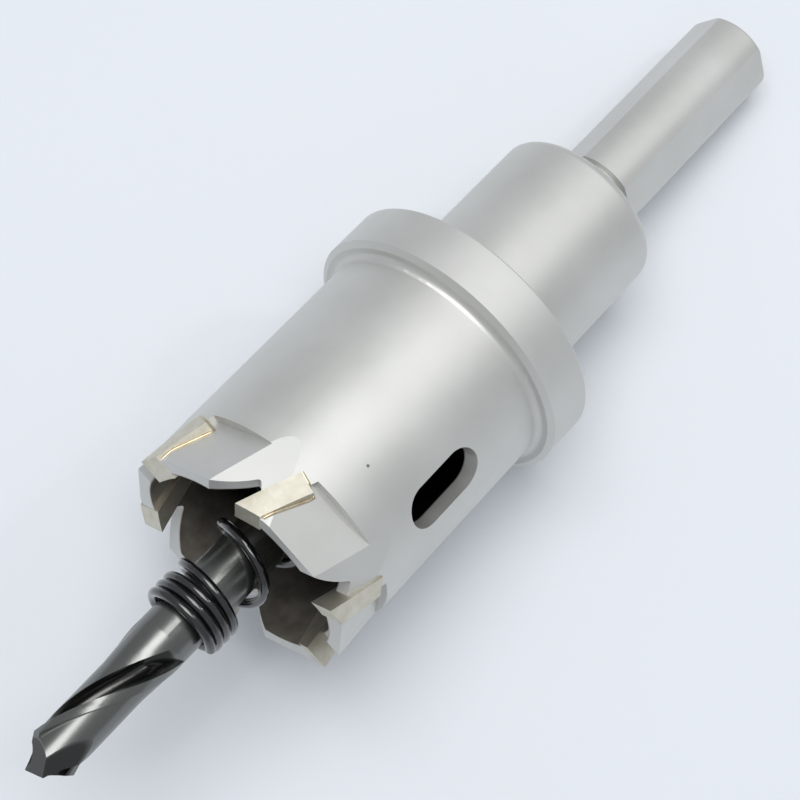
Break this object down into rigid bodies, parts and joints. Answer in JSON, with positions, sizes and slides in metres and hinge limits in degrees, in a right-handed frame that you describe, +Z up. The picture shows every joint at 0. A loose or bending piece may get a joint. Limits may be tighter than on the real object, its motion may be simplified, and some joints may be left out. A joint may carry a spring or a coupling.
{
  "type": "hole saw",
  "caption": "Shallow hole saw with brazed teeth, depth flange, three-flat shank, centring drill and a sprung ejector coil.",
  "frame": {"origin": "centre of the bounding box in plan, on the floor the tool lies on", "axes": "+X along the tool from its shank to its cutting end, +Z up; the tool lies on its flange and the end of one flat of its shank, so its own axis rises towards the cutting end"},
  "size_m": [0.1124, 0.031, 0.0369],
  "materials": {
    "blasted_steel": "satin, blasted and plated",
    "carbide": "ground",
    "drill_steel": "ground, bright on the lands",
    "spring_wire": "glossy black",
    "black_steel": "black oxide"
  },
  "bodies": {
    "cutter": {"cutter_body": "blasted_steel", "carbide_tip_1": "carbide", "carbide_tip_2": "carbide", "carbide_tip_3": "carbide", "carbide_tip_4": "carbide", "carbide_tip_5": "carbide", "carbide_tip_6": "carbide", "pilot_drill": "drill_steel", "set_screw": "black_steel"},
    "ejector": {"ejector_spring": "spring_wire"}
  },
  "joints": [
    {"name": "ejector_travel", "type": "slide", "parent": "cutter", "child": "ejector", "axis": [-0.9751, 0, -0.2217], "range_m": [0, 0.022], "stiffness_N_per_m": 3700, "deforming": ["ejector_spring"]}
  ]
}
